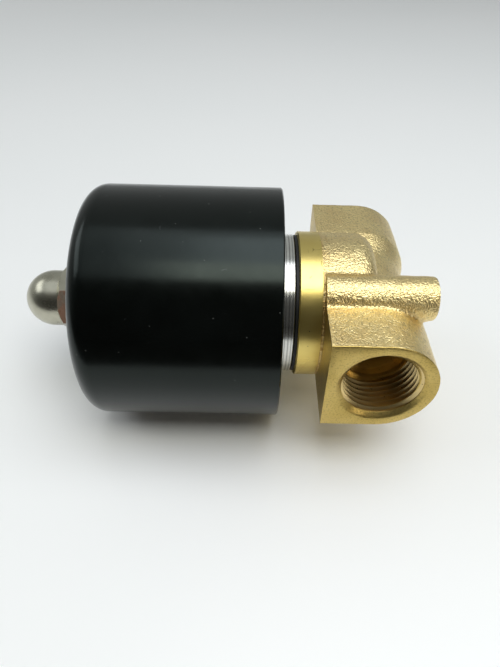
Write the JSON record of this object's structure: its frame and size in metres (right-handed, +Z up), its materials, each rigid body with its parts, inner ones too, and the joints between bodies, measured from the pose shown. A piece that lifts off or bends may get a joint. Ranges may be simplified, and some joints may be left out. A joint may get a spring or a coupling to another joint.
{
  "type": "solenoid valve",
  "caption": "Direct-acting, normally closed two-way solenoid valve: brass body with threaded ports and a round coil in a black steel can, held by a dome nut.",
  "frame": {"origin": "middle of the footprint, on the surface that the coil's can rests on", "axes": "+X along the stem axis from the dome nut to the valve body, Y along the flow axis with the inlet port towards -Y, +Z up with the ports level"},
  "size_m": [0.0878, 0.052, 0.051],
  "materials": {
    "cast_brass": "matte",
    "painted_steel": "satin",
    "turned_steel": "satin",
    "black_rubber": "matte",
    "stainless_steel": "satin",
    "zinc_plated_steel": "satin",
    "copper": "satin",
    "nylon": "matte",
    "polyester_tape": "gloss",
    "nickel_plate": "satin",
    "aluminium_foil": "satin"
  },
  "bodies": {
    "valve": {"valve_body": "cast_brass", "bonnet_gasket": "black_rubber", "bonnet": "turned_steel", "armature_tube": "stainless_steel", "fixed_core": "stainless_steel", "shading_ring": "copper", "disc_spring": "stainless_steel", "plunger_spring": "stainless_steel"},
    "plunger": {"plunger": "stainless_steel", "plunger_seal": "black_rubber"},
    "coil": {"coil_shell": "painted_steel", "flux_plate": "zinc_plated_steel", "upper_flux_sleeve": "zinc_plated_steel", "lower_flux_sleeve": "zinc_plated_steel", "coil_bobbin": "nylon", "coil_winding": "copper", "winding_tape": "polyester_tape", "lead_grommet": "black_rubber", "end_disc": "aluminium_foil"},
    "washer": {"lock_washer": "zinc_plated_steel"},
    "nut": {"dome_nut": "nickel_plate"}
  },
  "joints": [
    {"name": "plunger_slide", "type": "slide", "parent": "valve", "child": "plunger", "axis": [-1, 0, 0], "range_m": [0, 0.0025], "stiffness_N_per_m": 400, "springref_m": -0.004, "deforming": ["plunger_spring"]},
    {"name": "coil_swivel", "type": "hinge", "parent": "valve", "child": "coil", "pos_m": [0, 0, 0.0255], "axis": [1, 0, 0], "continuous": true},
    {"name": "washer_slide", "type": "slide", "parent": "valve", "child": "washer", "axis": [-1, 0, 0], "range_m": [0, 0.00375]},
    {"name": "nut_turn", "type": "hinge", "parent": "washer", "child": "nut", "pos_m": [0, 0, 0.0255], "axis": [-1, 0, 0], "range_deg": [0, 1080]}
  ],
  "couplings": [
    {"joint": "washer_slide", "follows": "nut_turn", "m_per_rad": 0.00019894}
  ]
}
